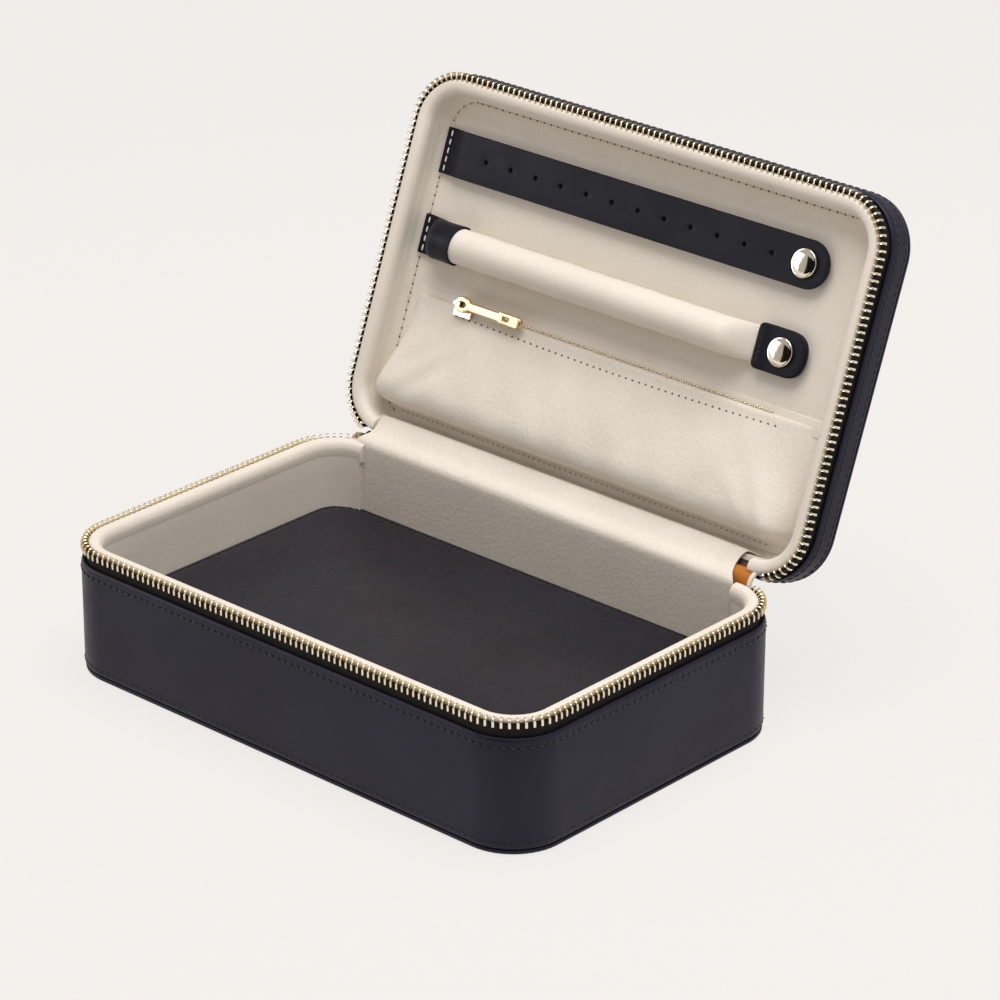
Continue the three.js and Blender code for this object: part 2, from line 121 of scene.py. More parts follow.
def around(s):
    """The point on the case's outline, s on from the right end of the back, and the way out from there."""
    s = s % PERIMETER
    for k, (side_x, side_y) in enumerate(((1, 1), (1, -1), (-1, -1), (-1, 1))):
        straight = FRONT if k % 2 else SIDE
        if s <= ARC + straight:
            break
        s -= ARC + straight
    angle = math.pi / 2 * (1 - k) - min(s, ARC) / CORNER
    outward = np.array([math.cos(angle), math.sin(angle)])
    onward = np.array([math.sin(angle), -math.cos(angle)])
    centre = np.array([side_x * (LENGTH / 2 - CORNER), side_y * (DEPTH / 2 - CORNER)])
    return centre + CORNER * outward + max(s - ARC, 0) * onward, outward


def on_corner(s):
    """True where the outline is on one of its round corners."""
    s = s % (2 * ARC + SIDE + FRONT)
    return s < ARC or ARC + SIDE < s < 2 * ARC + SIDE


def even_places(start, end, pitch, inset):
    """Places along the outline that are one pitch apart when measured at that inset."""
    places = []
    s = start
    while s < end:
        places.append(s)
        s += pitch * (CORNER / (CORNER - inset) if on_corner(s) else 1)
    return places


def spread(start, end):
    return np.linspace(start, end, max(2, int(abs(end - start) / OUTLINE_STEP) + 1))


def rounded(points, steps=4):
    """A closed outline whose corners, each given as x, y and a radius, are rounded."""
    out = []
    for i, (x, y, radius) in enumerate(points):
        corner = np.array([x, y], float)
        before = np.array(points[i - 1][:2], float) - corner
        after = np.array(points[(i + 1) % len(points)][:2], float) - corner
        reach = min(radius, np.linalg.norm(before) * 0.49, np.linalg.norm(after) * 0.49)
        first = corner + before / np.linalg.norm(before) * reach
        last = corner + after / np.linalg.norm(after) * reach
        for t in np.linspace(0, 1, steps) if reach > 0 else [0.5]:
            out.append((1 - t) ** 2 * first + 2 * t * (1 - t) * corner + t * t * last)
    return np.array(out)


def spline(points, count):
    """Evenly many points on a smooth curve through the given ones."""
    points = np.asarray(points, float)
    ends = [2 * points[0] - points[1], *points, 2 * points[-1] - points[-2]]
    out = []
    for t in np.linspace(0, len(points) - 1 - 1e-9, count):
        i = int(t)
        u = t - i
        a, b, c, d = ends[i : i + 4]
        out.append(0.5 * (2 * b + (c - a) * u + (2 * a - 5 * b + 4 * c - d) * u**2
                          + (3 * b - a - 3 * c + d) * u**3))
    return np.array(out)


def ease(t):
    t = np.clip(t, 0, 1)
    return t * t * (3 - 2 * t)


def loft(rings, wrap=False):
    """Faces over closed rings of points; wrap joins the last ring to the first, else both are capped."""
    rings = np.asarray(rings, float)
    count, size = rings.shape[:2]
    faces = []
    for i in range(count if wrap else count - 1):
        j = (i + 1) % count
        for k in range(size):
            m = (k + 1) % size
            faces.append((i * size + k, i * size + m, j * size + m, j * size + k))
    if not wrap:
        faces.append(tuple(range(size)))
        faces.append(tuple(range((count - 1) * size, count * size)))
    return rings.reshape(-1, 3), faces


def swept(section, start=0.0, end=PERIMETER):
    """A section of inset and height carried round the case."""
    whole = end - start > PERIMETER - 0.01
    places = spread(start, end)
    rings = []
    for s in places[:-1] if whole else places:
        point, outward = around(s)
        rings.append([[*(point - inset * outward), height] for inset, height in section])
    return loft(rings, wrap=whole)


def plate(profile):
    """A panel with the case's outline, whose edge follows a profile of inset and height."""
    rings = []
    places = spread(0, PERIMETER)[:-1]
    for inset, height in profile:
        rings.append([[*(point - inset * outward), height] for point, outward in map(around, places)])
    return loft(rings)


def copies(template, places):
    """The template repeated: each place is an origin and three axes for its x, y and z."""
    points, faces = template
    all_points, all_faces = [], []
    for i, (origin, axes) in enumerate(places):
        all_points.append(np.asarray(origin) + np.asarray(points) @ np.asarray(axes))
        all_faces += [tuple(k + i * len(points) for k in face) for face in faces]
    return np.vstack(all_points), all_faces


def joined(*shapes):
    points, faces = [], []
    for shape_points, shape_faces in shapes:
        offset = sum(len(p) for p in points)
        points.append(np.asarray(shape_points))
        faces += [tuple(k + offset for k in face) for face in shape_faces]
    return np.vstack(points), faces


def capsule(sides=6):
    """A stitch of unit length, width and height, rounded at both ends and lying along x."""
    rings = []
    for x, girth in ((-0.5, 0.25), (-0.42, 0.72), (-0.2, 1), (0.2, 1), (0.42, 0.72), (0.5, 0.25)):
        turns = np.linspace(0, 2 * math.pi, sides, endpoint=False)
        rings.append([[x, girth / 2 * math.cos(a), girth / 2 * math.sin(a)] for a in turns])
    return loft(rings)


def circle(x, y, radius, sides=20):
    turns = np.linspace(0, 2 * math.pi, sides, endpoint=False)
    return [(x + radius * math.cos(a), y + radius * math.sin(a)) for a in turns]


def turned(profile, centre, sides=48):
    """A profile of radius and height turned about an upright line; it starts and ends near that line."""
    rings = []
    for radius, height in profile:
        rings.append([[x, y, height] for x, y in circle(*centre, radius, sides)])
    return loft(rings)


def strap(path, normals, lefts, rights, thickness, across):
    """A flat strip that follows a path in the y-z plane and runs along x, with rounded long edges."""
    spots = (1 - np.cos(np.linspace(0, math.pi, across))) / 2
    half = np.sqrt(1 - np.abs(2 * spots - 1) ** 10 * 0.9) / 2
    rings = []
    for (y, z), (ny, nz), left, right in zip(path, normals, lefts, rights):
        x = left + (right - left) * spots
        front = [[a, y + ny * h * thickness, z + nz * h * thickness] for a, h in zip(x, half)]
        back = [[a, y - ny * h * thickness, z - nz * h * thickness] for a, h in zip(x, half)]
        rings.append(front + back[::-1])
    return loft(rings)


def thick_sheet(grid, thickness):
    """A grid of points given a thickness along its normals, thinner at its two long edges."""
    grid = np.asarray(grid, float)
    normals = np.cross(np.gradient(grid, axis=0), np.gradient(grid, axis=1))
    normals /= np.linalg.norm(normals, axis=2)[..., None]
    across = np.linspace(-1, 1, grid.shape[1])
    half = thickness / 2 * np.sqrt(1 - np.abs(across) ** 12 * 0.85)[None, :, None]
    front, back = grid + normals * half, grid - normals * half
    return loft([[*a, *b[::-1]] for a, b in zip(front, back)])


def path_normals(path):
    """Directions at right angles to a path in a plane, to its left."""
    along = np.gradient(np.asarray(path, float), axis=0)
    along /= np.linalg.norm(along, axis=1)[:, None]
    return np.stack([-along[:, 1], along[:, 0]], axis=1)


# ---- materials


class Nodes:
    """A material's node tree, with short ways to add what the finishes here are made of."""

    def __init__(self, name, colour, roughness, metallic=0.0, **sockets):
        self.material = bpy.data.materials.new(name)
        self.material.use_nodes = True
        self.tree = self.material.node_tree
        self.shader = self.tree.nodes["Principled BSDF"]
        self.shader.inputs["Base Color"].default_value = (*colour, 1)
        self.shader.inputs["Roughness"].default_value = roughness
        self.shader.inputs["Metallic"].default_value = metallic
        for key, value in sockets.items():
            self.shader.inputs[key.replace("_", " ")].default_value = value
        self.place = self.tree.nodes.new("ShaderNodeTexCoord").outputs["Object"]
        self.height = None

    def link(self, output, target):
        self.tree.links.new(output, target)

    def noise(self, scale, detail=3.0, stretch=None, distortion=0.0):
        node = self.tree.nodes.new("ShaderNodeTexNoise")
        node.inputs["Scale"].default_value = scale
        node.inputs["Detail"].default_value = detail
        node.inputs["Distortion"].default_value = distortion
        self.link(self.stretched(stretch), node.inputs["Vector"])
        return node.outputs["Fac"]

    def stretched(self, stretch):
        if stretch is None:
            return self.place
        node = self.tree.nodes.new("ShaderNodeMapping")
        node.inputs["Scale"].default_value = stretch
        self.link(self.place, node.inputs["Vector"])
        return node.outputs["Vector"]

    def cells(self, scale, feature="F1"):
        node = self.tree.nodes.new("ShaderNodeTexVoronoi")
        node.feature = feature
        node.inputs["Scale"].default_value = scale
        self.link(self.place, node.inputs["Vector"])
        return node.outputs["Distance"]

    def ramp(self, value, low, high, low_colour, high_colour):
        node = self.tree.nodes.new("ShaderNodeValToRGB")
        node.color_ramp.elements[0].position = low
        node.color_ramp.elements[1].position = high
        node.color_ramp.elements[0].color = (*low_colour, 1)
        node.color_ramp.elements[1].color = (*high_colour, 1)
        self.link(value, node.inputs["Fac"])
        return node.outputs["Color"]

    def mixed(self, first, second, share):
        node = self.tree.nodes.new("ShaderNodeMix")
        node.data_type = "RGBA"
        node.inputs["Factor"].default_value = share
        self.link(first, node.inputs["A"])
        self.link(second, node.inputs["B"])
        return node.outputs["Result"]

    def colour(self, output):
        self.link(output, self.shader.inputs["Base Color"])

    def roughness(self, value, low, high):
        node = self.tree.nodes.new("ShaderNodeMapRange")
        node.inputs["To Min"].default_value = low
        node.inputs["To Max"].default_value = high
        self.link(value, node.inputs["Value"])
        self.link(node.outputs["Result"], self.shader.inputs["Roughness"])

    def bump(self, value, strength, distance_mm):
        node = self.tree.nodes.new("ShaderNodeBump")
        node.inputs["Strength"].default_value = strength
        node.inputs["Distance"].default_value = distance_mm * MM
        self.link(value, node.inputs["Height"])
        if self.height is not None:
            self.link(self.height, node.inputs["Normal"])
        self.height = node.outputs["Normal"]
        self.link(self.height, self.shader.inputs["Normal"])


def leather_finish(name, dark, light, roughness, gloss=0.25):
    """Smooth calf: fine pores, faint creases and slow changes of shade."""
    nodes = Nodes(name, dark, roughness, Specular_IOR_Level=gloss)
    nodes.colour(nodes.ramp(nodes.noise(22, 4), 0.3, 0.7, dark, light))
    nodes.roughness(nodes.noise(130, 5), roughness - 0.07, roughness + 0.09)
    nodes.bump(nodes.cells(2600), 0.16, 0.05)
    nodes.bump(nodes.noise(700, 4), 0.14, 0.06)
    return nodes.material


def suede_finish(name, dark, light, nap, grain):
    """Brushed suede: short fibres over a faint pebbled grain, whose shade shifts a little."""
    nodes = Nodes(name, light, 0.96, Specular_IOR_Level=0.12, Sheen_Weight=0.2, Sheen_Roughness=0.5)
    fibres = nodes.noise(2300, 4, stretch=(1, 0.6, 0.8))
    patches = nodes.noise(38, 3, distortion=0.6)
    fine = nodes.ramp(fibres, 0.5 - nap, 0.5 + nap, dark, light)
    broad = nodes.ramp(patches, 0.2, 0.8, dark, light)
    nodes.colour(nodes.mixed(broad, fine, 0.6))
    nodes.bump(nodes.noise(760, 3), grain, 0.22)
    nodes.bump(fibres, 0.4, 0.09)
    return nodes.material


def woven_finish(name, dark, light):
    nodes = Nodes(name, dark, 0.85, Specular_IOR_Level=0.2)
    threads = nodes.cells(2300, "SMOOTH_F1")
    nodes.colour(nodes.ramp(threads, 0.1, 0.75, light, dark))
    nodes.bump(threads, 0.8, 0.15)
    return nodes.material


def metal_finish(name, dark, light, roughness):
    nodes = Nodes(name, light, roughness, 1.0)
    nodes.colour(nodes.ramp(nodes.noise(90, 2), 0.3, 0.7, dark, light))
    nodes.roughness(nodes.noise(900, 3, stretch=(1, 0.2, 1)), roughness - 0.06, roughness + 0.08)
    return nodes.material


def board_finish(name, dark, light):
    nodes = Nodes(name, light, 0.95)
    nodes.colour(nodes.ramp(nodes.noise(400, 6), 0.3, 0.7, dark, light))
    nodes.bump(nodes.noise(1200, 4), 0.3, 0.1)
    return nodes.material


def thread_finish(name, dark, light, roughness):
    nodes = Nodes(name, light, roughness, Sheen_Weight=0.2)
    nodes.colour(nodes.ramp(nodes.noise(1600, 3), 0.3, 0.7, dark, light))
    nodes.bump(nodes.noise(2600, 3, stretch=(3, 1, 3)), 0.5, 0.06)
    return nodes.material


FINISHES = {
    "navy": leather_finish("navy_calf", (0.011, 0.0098, 0.022), (0.018, 0.016, 0.033), 0.42, 0.2),
    "pad": leather_finish("pad_calf", (0.006, 0.0056, 0.012), (0.012, 0.0112, 0.021), 0.27, 0.32),
    "strap": leather_finish("strap_calf", (0.006, 0.0056, 0.011), (0.011, 0.0102, 0.018), 0.45, 0.14),
    "tan": leather_finish("tan_flesh_side", (0.42, 0.13, 0.014), (0.58, 0.21, 0.03), 0.7),
    "suede": suede_finish("cream_suede", (0.70, 0.63, 0.54), (0.81, 0.745, 0.66), 0.2, 0.28),
    "grained": suede_finish("cream_suede_grained", (0.67, 0.60, 0.51), (0.81, 0.745, 0.66), 0.16, 0.7),
    "tape": woven_finish("black_zip_tape", (0.004, 0.0035, 0.0035), (0.020, 0.017, 0.016)),
    "puller_gold": metal_finish("puller_gold", (0.70, 0.50, 0.26), (0.80, 0.61, 0.36), 0.22),
    "gold": metal_finish("pale_gold", (0.80, 0.69, 0.50), (0.90, 0.81, 0.64), 0.20),
    "polished": metal_finish("polished_gold", (0.84, 0.76, 0.60), (0.92, 0.85, 0.71), 0.07),
    "board": board_finish("grey_board", (0.16, 0.14, 0.12), (0.26, 0.23, 0.20)),
    "foam": board_finish("core_foam", (0.55, 0.52, 0.44), (0.68, 0.64, 0.56)),
    "navy_thread": thread_finish("navy_thread", (0.0006, 0.0006, 0.001), (0.002, 0.002, 0.003), 0.75),
    "white_thread": thread_finish("white_thread", (0.62, 0.58, 0.50), (0.82, 0.79, 0.72), 0.7),
    "cream_thread": thread_finish("cream_thread", (0.50, 0.42, 0.33), (0.66, 0.58, 0.47), 0.8),
    # Needle holes: this dark brown is painted shade, standing in for the depth of holes that the shallow
    # dimples barely have.
    "needle_hole_shade": thread_finish("needle_hole_shade", (0.10, 0.045, 0.022), (0.17, 0.085, 0.045), 0.95),
}


def piece(name, shape, finish, body=None, stands_for=(), sharp_deg=50):
    """An object from millimetre points and faces, riding on a body when one is given.

    What rides on the lid, or on what is fixed to it, is given as it lies with the lid shut.
    """
    points, faces = shape
    points = np.asarray(points, float) if body in (None, "base") else opened(points)
    mesh = bpy.data.meshes.new(name)
    mesh.from_pydata((points * MM).tolist(), [], faces)
    work = bmesh.new()
    work.from_mesh(mesh)
    bmesh.ops.recalc_face_normals(work, faces=work.faces)
    work.to_mesh(mesh)
    work.free()
    mesh.shade_smooth()
    mesh.set_sharp_from_angle(angle=math.radians(sharp_deg))
    mesh.materials.append(FINISHES[finish])
    obj = bpy.data.objects.new(name, mesh)
    bpy.context.scene.collection.objects.link(obj)
    if body:
        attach(obj, body)
    if stands_for:
        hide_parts(*stands_for)
    return obj


# ---- stitches

STITCH_PITCH = 2.8


def ring_stitches(height, inset, tilt=0.0, length=2.0, width=0.5, pitch=STITCH_PITCH, face="wall"):
    """A row of stitches all round the case, on its upright wall or on a floor."""
    places = []
    for s in even_places(0, PERIMETER, pitch, inset):
        point, outward = around(s)
        onward = np.array([outward[1], -outward[0], 0])
        out3 = np.array([*outward, 0.0])
        up = np.array([0, 0, 1.0])
        lean = onward * math.cos(tilt) + (up if face == "wall" else out3) * math.sin(tilt)
        origin = np.array([*(point - inset * outward), height])
        places.append((origin, [lean * length, (up if face == "wall" else out3) * width,
                                (out3 if face == "wall" else up) * width * 0.8]))
    return copies(capsule(), places)


def line_stitches(start, end, normal, pitch, length, width):
    """Stitches in a straight line from one point to another on a surface with that normal."""
    start, end, normal = (np.asarray(a, float) for a in (start, end, normal))
    along = (end - start) / np.linalg.norm(end - start)
    side = np.cross(normal, along)
    count = max(1, round(np.linalg.norm(end - start) / pitch))
    axes = [along * length, side * width, normal * width * 0.7]
    return copies(capsule(), [(start + (end - start) * (i + 0.5) / count, axes) for i in range(count)])


def needle_holes(spots, normal, radius):
    """Small dimples where the needle went through, lying on a surface; their dark colour, set by their
    finish, is painted shade for the holes' depth.
    """
    normal = np.asarray(normal, float)
    first = np.array([1.0, 0, 0])
    second = np.cross(normal, first)
    rim = [(1.0, 0.0), (0.8, 0.05), (0.35, 0.02)]
    rings = []
    for share, height in rim:
        rings.append([[x, y, height] for x, y in circle(0, 0, share, 8)])
    template = loft(rings)
    return copies(template, [(spot, [first * radius, second * radius, normal]) for spot in spots])


# ---- base


def base_leather():
    band = rounded([
        (1.25, 1.7, 0.2), (0.5, 1.7, 0.3), (0.0, 2.5, 0.7),
        (0.0, BASE_TOP - 3.45, 0.2), (0.3, BASE_TOP - 3.05, 0.25), (-0.05, BASE_TOP - 2.6, 0.3),
        (0.0, BASE_TOP - 1.1, 0.9), (0.55, BASE_TOP, 0.7), (1.25, BASE_TOP - 0.2, 0.3),
        (1.3, BASE_TOP - 2, 0),
    ])
    piece("base_band_cover", swept(band), "navy", "base", ["base_leather_band"])
    edge = rounded([
        (1.6, 0.0, 0), (0.9, 0.0, 0.4), (0.25, 0.25, 0.5), (0.2, 1.3, 0.4), (1.3, 1.62, 0.3), (1.6, 1.6, 0),
    ])
    piece("base_bottom_cover", plate(edge), "navy", "base", ["base_bottom_leather"])
    top_row = ring_stitches(BASE_TOP - 3.05, 0.0, tilt=0.12, width=0.75)
    low_row = ring_stitches(3.6, -0.05, tilt=0.12, width=0.42)
    piece("base_band_stitches", joined(top_row, low_row), "navy_thread", "base")


BEAD_FOOT = 38.4  # height of the base rim's foot
RIM_PAST = 0.8  # how far a rim runs on past the ends of the three sides
LID_RIM_SHORT = 2.2  # how far the lid's rim stops before their left end
# The padded rim's section: inset, height above its foot and corner radius
BEAD_PROFILE = [
    (4.4, 0.0, 0), (2.5, 3.6, 0.3), (2.3, 5.2, 0.6), (2.9, 6.25, 0.6), (4.2, 6.4, 1.1),
    (5.9, 5.9, 1.6), (6.95, 4.2, 1.6), (7.0, 2.0, 2.0), (6.7, 0.0, 0),
]


def bead_section(foot, up):
    """The padded rim's section on a wall of the base, up = 1, or of the lid, up = -1."""
    return rounded([(inset, foot + up * height, radius) for inset, height, radius in BEAD_PROFILE], steps=5)


def base_rim_and_walls():
    around_sides = swept(bead_section(BEAD_FOOT, 1), -RIM_PAST, THREE_SIDES + RIM_PAST)
    rim = piece("base_rim_roll", around_sides, "suede", "base", ["base_rim_bead"])
    inset, top = BASE_LINING_INSET, BASE_LINING_TOP
    wall = rounded([
        (5.0, PAD_LOW, 0), (5.0, top, 0), (6.7, top, 0.1), (inset, top - 0.3, 0.2), (inset - 0.1, 30, 2),
        (inset, PAD_LOW, 0),
    ])
    lining = piece("base_wall_suede", swept(wall, 0, THREE_SIDES), "suede", "base", ["base_wall_lining"])


def floor_pad():
    inset, low, top = PAD_INSET, PAD_LOW, PAD_TOP
    edge = rounded([
        (inset + 2, low + 0.2, 0), (inset + 0.5, low + 0.3, 0.4), (inset, low + 1.2, 0.7),
        (inset + 0.1, top - 0.7, 0.6), (inset + 0.9, top - 0.05, 0.6), (inset + 2.0, top - 0.4, 0.4),
        (inset + 3.0, top - 0.05, 0.7), (inset + 5.0, top, 0),
    ])
    points, faces = plate(edge)
    pad = piece("floor_pad_cover", (to_back_wall(points), faces), "pad", "base", ["base_floor_pad"])
    points, faces = ring_stitches(top - 0.28, inset + 2.0, length=1.8, face="floor")
    piece("floor_pad_stitches", (to_back_wall(points), faces), "navy_thread", "base")


def to_back_wall(points):
    """Floor points drawn with the same gap all round, stretched back to the thinner wall under the hinge."""
    points = points.copy()
    slack = BACK_WALL - (BACK - PAD_INSET)
    points[:, 1] += slack * ease((points[:, 1] - 10) / 45)
    return points


# ---- zip

TOOTH_PITCH = 2.35
TAPE_INSET = 1.85
TAPE_EDGE = 1.25
BASE_ZIP_START = CORNER * math.radians(90 - 71.5)
LID_ZIP_START = CORNER * math.radians(90 - 76)
LID_ZIP_STOP = THREE_SIDES - CORNER * math.radians(112 - 90)


def tooth():
    """One zip tooth: x along the zip, y inwards from the outline, z up from the parting plane."""
    outline = rounded([
        (0.34, -2.85, 0.1), (0.08, -2.4, 0.3), (0.05, -0.7, 0.5), (0.45, 0.1, 0.5), (1.3, 0.36, 0.5),
        (2.15, 0.2, 0.5), (2.55, -0.5, 0.5), (2.5, -2.2, 0.2), (2.1, -2.3, 0.2), (2.0, -1.3, 0.3),
        (1.5, -0.9, 0.3), (1.0, -1.3, 0.3), (0.95, -2.8, 0.1),
    ], steps=3)
    normals = path_normals(np.vstack([outline[-1], outline, outline[0]]))[1:-1]
    rings = []
    for x, shrink in ((-0.38, 0.14), (-0.28, 0.03), (0.0, 0.0), (0.28, 0.03), (0.38, 0.14)):
        ring = outline + normals * shrink
        head = ease((ring[:, 1] + 1.2) / 1.0)
        rings.append([[x * (1.06 - 0.15 * h) + 0.1 * h, y, z] for (y, z), h in zip(ring, head)])
    return loft(rings)


def teeth_row(places, up):
    """Teeth along the outline; up is 1 for the base's row and -1 for the lid's."""
    spots = []
    for s in places:
        point, outward = around(s)
        onward = np.array([outward[1], -outward[0], 0])
        inward = np.array([-outward[0], -outward[1], 0])
        spots.append((np.array([*point, PARTING]), [onward, inward, np.array([0, 0, up])]))
    return copies(tooth(), spots)


def tape_section(hidden, edge, lean):
    """The woven tape's section: upright behind the leather, leaning outwards up to the teeth."""
    return rounded([
        (TAPE_INSET - 0.25, hidden, 0), (TAPE_INSET - 0.25, lean, 1.0), (TAPE_EDGE - 0.2, edge, 0.2),
        (TAPE_EDGE + 0.2, edge, 0.2), (TAPE_INSET + 0.25, lean, 1.0), (TAPE_INSET + 0.25, hidden, 0),
    ], steps=3)


def zips():
    row = even_places(BASE_ZIP_START, THREE_SIDES - 0.5, TOOTH_PITCH, TAPE_EDGE)
    piece("base_teeth", teeth_row(row[1:], 1), "gold", "base", ["base_zip_teeth"], sharp_deg=60)
    between = [(a + b) / 2 for a, b in zip(row, row[1:])]
    lid_row = [s for s in between if LID_ZIP_START + 1 < s < LID_ZIP_STOP - 1]
    piece("lid_teeth", teeth_row(lid_row, -1), "gold", "lid", ["lid_zip_teeth"], sharp_deg=60)
    base_tape = swept(tape_section(33, PARTING - 1.2, BASE_TOP + 0.3), BASE_ZIP_START, THREE_SIDES)
    piece("base_tape_weave", base_tape, "tape", "base", ["base_zip_tape"])
    lid_tape = swept(tape_section(57, PARTING + 1.2, LID_LOW - 0.3), LID_ZIP_START, LID_ZIP_STOP)
    piece("lid_tape_weave", lid_tape, "tape", "lid", ["lid_zip_tape"])


# ---- lid


def lid_leather():
    band = rounded([
        (1.3, LID_LOW + 2, 0), (1.25, LID_LOW + 0.2, 0.3), (0.55, LID_LOW, 0.7), (0.0, LID_LOW + 1.0, 0.9),
        (-0.05, LID_LOW + 2.05, 0.3), (0.3, LID_LOW + 2.5, 0.25), (0.0, LID_LOW + 2.9, 0.2),
        (0.0, LID_HIGH - 2.4, 0.7), (0.5, LID_HIGH - 1.62, 0.3), (1.25, LID_HIGH - 1.62, 0.2),
    ])
    piece("lid_band_cover", swept(band), "navy", "lid", ["lid_leather_band"])
    edge = rounded([
        (1.6, LID_HIGH - 1.3, 0), (1.3, LID_HIGH - 1.55, 0.3), (0.2, LID_HIGH - 1.4, 0.4),
        (0.25, LID_HIGH - 0.35, 0.5), (1.0, LID_HIGH, 0.5), (3.0, LID_HIGH, 0),
    ])
    piece("lid_panel_cover", plate(edge), "navy", "lid", ["lid_panel_leather"])
    low_row = ring_stitches(LID_LOW + 2.5, 0.0, tilt=0.12, width=0.75)
    high_row = ring_stitches(LID_HIGH - 3.2, -0.05, tilt=0.12, width=0.42)
    piece("lid_band_stitches", joined(low_row, high_row), "navy_thread", "lid")


def lid_rim_and_walls():
    section = bead_section(2 * PARTING - BEAD_FOOT, -1)
    around_sides = swept(section, -RIM_PAST, THREE_SIDES - LID_RIM_SHORT)
    rim = piece("lid_rim_roll", around_sides, "suede", "lid", ["lid_rim_bead"])
    foot = 49.5
    lining_edge = rounded([
        (5.0, foot, 0), (5.0, LID_FLOOR + 0.7, 0), (9, LID_FLOOR + 0.7, 0), (14, LID_FLOOR + 0.7, 0),
        (14, LID_FLOOR, 0), (10.6, LID_FLOOR, 0.5), (FLOOR_STITCH_INSET, LID_FLOOR + 0.25, 0.5),
        (8.4, LID_FLOOR - 0.3, 1.2), (6.95, LID_FLOOR - 2.4, 2.4), (6.85, foot + 0.3, 0.2), (6.7, foot, 0.1),
    ])
    wall = piece("lid_wall_suede", swept(lining_edge), "suede", "lid", ["lid_wall_lining"])


def lid_floor():
    inset, height = FLOOR_BORDER, LID_FLOOR
    profile = [(inset, height + 0.6), (inset, height + 0.02), (inset + 0.4, height - 0.02)]
    floor = piece("lid_floor_suede", plate(profile), "suede", "lid", ["lid_floor_lining"])
    pitch = 3.1
    threads = ring_stitches(height + 0.02, FLOOR_STITCH_INSET, length=1.9, pitch=pitch, face="floor")
    piece("lid_floor_stitches", threads, "cream_thread", "lid")
    spots = []
    for s in even_places(pitch / 2, PERIMETER, pitch, FLOOR_STITCH_INSET):
        point, outward = around(s)
        spots.append([*(point - FLOOR_STITCH_INSET * outward), height + 0.02])
    # Dark dimples between the floor stitches: painted shade of the needle holes.
    piece("lid_floor_needle_holes", needle_holes(spots, (0, 0, -1), 0.42), "needle_hole_shade", "lid")


# ---- hinge


def lid_point(y, z):
    """A point of the shut lid as y and z with the lid open."""
    return opened([[0, y, z]])[0][1:]


def hinge_lining():
    """Suede up the base's back wall, over the hinge and down the lid's back wall to its floor."""
    wall, lid_wall = BACK_WALL, BACK - 7.3
    path = spline([
        (wall, PAD_LOW + 0.5), (wall, 26), (wall, 34), (wall, 41.5), (wall + 0.35, 44.6),
        (wall + 2.0, 46.1), (wall + 6.0, 47.2), lid_point(lid_wall - 0.4, 49.2),
        lid_point(lid_wall, 52.5), lid_point(lid_wall - 0.1, 55.0), lid_point(lid_wall - 0.9, 56.2),
        lid_point(lid_wall - 2.4, LID_FLOOR - 0.25),
    ], 80)
    heights = np.linspace(0, 1, len(path))
    lefts = -85.0 + 2.3 * np.exp(-(((heights - 0.56) / 0.11) ** 2))
    rights = 80.5 - 4.8 * np.exp(-(((heights - 0.58) / 0.13) ** 2))
    sheet = strap(path, path_normals(path), lefts, rights, 0.8, across=60)
    lining = piece("hinge_suede", sheet, "grained", stands_for=["hinge_lining"])
    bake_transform(lining)


def hinge_spine():
    """The leather that joins base and lid at the back: grain outside, raw side and a pale binding inside."""
    out = spline([
        (BACK - 0.7, BASE_TOP - 1.6), (BACK - 0.6, BASE_TOP + 0.4), (BACK - 0.9, 42.8), (BACK + 0.1, 45.4),
        (BACK + 2.2, 46.6), (BACK + 4.4, 46.0), (BACK + 5.3, 44.6),
        lid_point(BACK - 0.6, LID_LOW - 0.4), lid_point(BACK - 0.7, LID_LOW + 1.4),
    ], 44)
    normals = path_normals(out)
    inner = out + normals * 0.32
    sides = np.ones(len(out))
    spine = strap(out, normals, -80.5 * sides, 84.5 * sides, 0.7, across=24)
    flesh = strap(inner, normals, -80.3 * sides, 83.6 * sides, 0.5, across=24)
    edging = strap(inner, normals, 83.2 * sides, 84.6 * sides, 1.3, across=10)
    grain = piece("hinge_spine_leather", spine, "navy", stands_for=["hinge_leather"])
    back = piece("hinge_spine_flesh_side", flesh, "tan")
    binding = piece("hinge_spine_binding", edging, "suede")
    for sheet in (grain, back, binding):
        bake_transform(sheet)


# ---- what is fixed to the lid's floor


def flat_cut(outline, holes, thickness, bevel, step):
    """A flat piece cut to an outline with holes, its edges eased, as points and faces about height 0."""
    curve = bpy.data.curves.new("cut", "CURVE")
    curve.dimensions = "2D"
    curve.fill_mode = "BOTH"
    curve.extrude = thickness / 2 - bevel
    curve.bevel_depth = bevel
    curve.bevel_resolution = 2
    for loop in (outline, *holes):
        line = curve.splines.new("POLY")
        line.points.add(len(loop) - 1)
        for point, (x, y) in zip(line.points, loop):
            point.co = (x, y, 0, 1)
        line.use_cyclic_u = True
    obj = bpy.data.objects.new("cut", curve)
    bpy.context.scene.collection.objects.link(obj)
    bpy.context.view_layer.update()
    mesh = bpy.data.meshes.new_from_object(obj.evaluated_get(bpy.context.evaluated_depsgraph_get()))
    bpy.data.objects.remove(obj)
    work = bmesh.new()
    work.from_mesh(mesh)
    bmesh.ops.remove_doubles(work, verts=work.verts, dist=0.002)
    low = min(v.co.x for v in work.verts)
    high = max(v.co.x for v in work.verts)
    for x in np.arange(low + step, high, step):
        everything = work.verts[:] + work.edges[:] + work.faces[:]
        bmesh.ops.bisect_plane(work, geom=everything, plane_co=(x, 0, 0), plane_no=(1, 0, 0))
    work.verts.index_update()
    points = np.array([v.co for v in work.verts])
    faces = [tuple(v.index for v in f.verts) for f in work.faces]
    work.free()
    return points, faces


def tongue(left, right, y, width):
    """Outline of a strip with a square left end and a round right end."""
    radius = width / 2
    turns = np.linspace(-math.pi / 2, math.pi / 2, 24)
    end = [(right - radius + radius * math.cos(a), y + radius * math.sin(a)) for a in turns]
    return [(left, y - radius), *end, (left, y + radius)]


